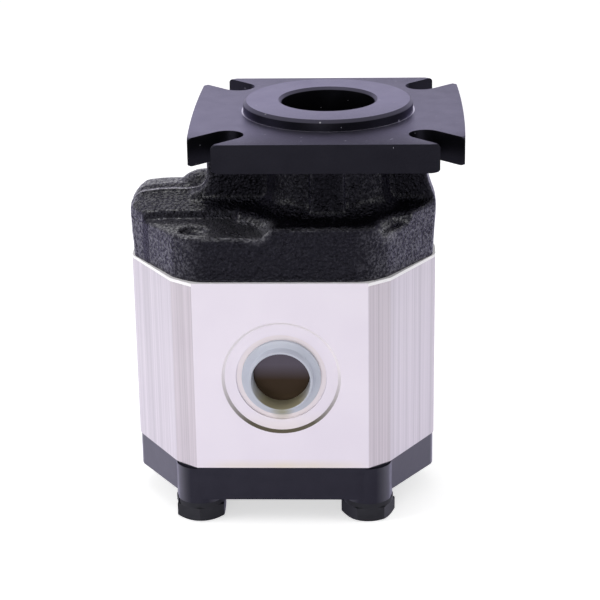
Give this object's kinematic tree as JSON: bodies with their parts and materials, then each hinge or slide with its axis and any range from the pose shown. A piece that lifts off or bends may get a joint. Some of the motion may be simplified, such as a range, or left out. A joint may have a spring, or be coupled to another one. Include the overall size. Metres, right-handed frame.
{
  "type": "external gear pump",
  "caption": "Flange-mounted external gear pump: aluminium body with side ports, black cast covers, square slotted flange with pilot ring, and meshed gears inside.",
  "frame": {"origin": "centre of the pilot ring in the mounting face of the flange, on the drive shaft's axis", "axes": "+Z leaves the mounting face along the shaft axis, +X runs along the body away from the idler gear, -Y is the side of the port that the picture shows"},
  "size_m": [0.1176, 0.0926, 0.1483],
  "materials": {
    "cast_front": "as cast, phosphated black",
    "cast_rear": "as cast, phosphated black",
    "body_aluminium": "extruded, milled port faces",
    "gear_steel": "ground",
    "block_aluminium": "machined",
    "bush_bronze": "lined bearing bronze",
    "seal_rubber": "moulded nitrile rubber",
    "backup_plastic": "moulded polyamide",
    "ring_steel": "phosphated spring steel",
    "plug_plastic": "translucent moulded polyethylene",
    "bolt_black": "black oxide",
    "washer_black": "black oxide",
    "pin_steel": "ground"
  },
  "bodies": {
    "housing": {"front_cover": "cast_front", "pump_body": "body_aluminium", "rear_cover": "cast_rear", "front_bearing_block": "block_aluminium", "rear_bearing_block": "block_aluminium", "drive_front_bush": "bush_bronze", "drive_rear_bush": "bush_bronze", "idler_front_bush": "bush_bronze", "idler_rear_bush": "bush_bronze", "front_axial_seal": "seal_rubber", "rear_axial_seal": "seal_rubber", "front_backup_ring": "backup_plastic", "rear_backup_ring": "backup_plastic", "front_body_seal": "seal_rubber", "rear_body_seal": "seal_rubber", "shaft_seal": "seal_rubber", "seal_retaining_ring": "ring_steel", "front_port_plug": "plug_plastic", "rear_port_plug": "plug_plastic", "housing_bolts": "bolt_black", "spring_washers": "washer_black", "dowel_pins": "pin_steel"},
    "drive_gear": {"drive_gear_shaft": "gear_steel"},
    "idler_gear": {"idler_gear_shaft": "gear_steel"}
  },
  "joints": [
    {"name": "drive_spin", "type": "hinge", "parent": "housing", "child": "drive_gear", "pos_m": [0, 0, 0], "axis": [0, 0, 1], "continuous": true},
    {"name": "idler_spin", "type": "hinge", "parent": "housing", "child": "idler_gear", "pos_m": [-0.033, 0, 0], "axis": [0, 0, 1], "continuous": true}
  ],
  "couplings": [
    {"joint": "idler_spin", "follows": "drive_spin", "ratio": -1}
  ]
}
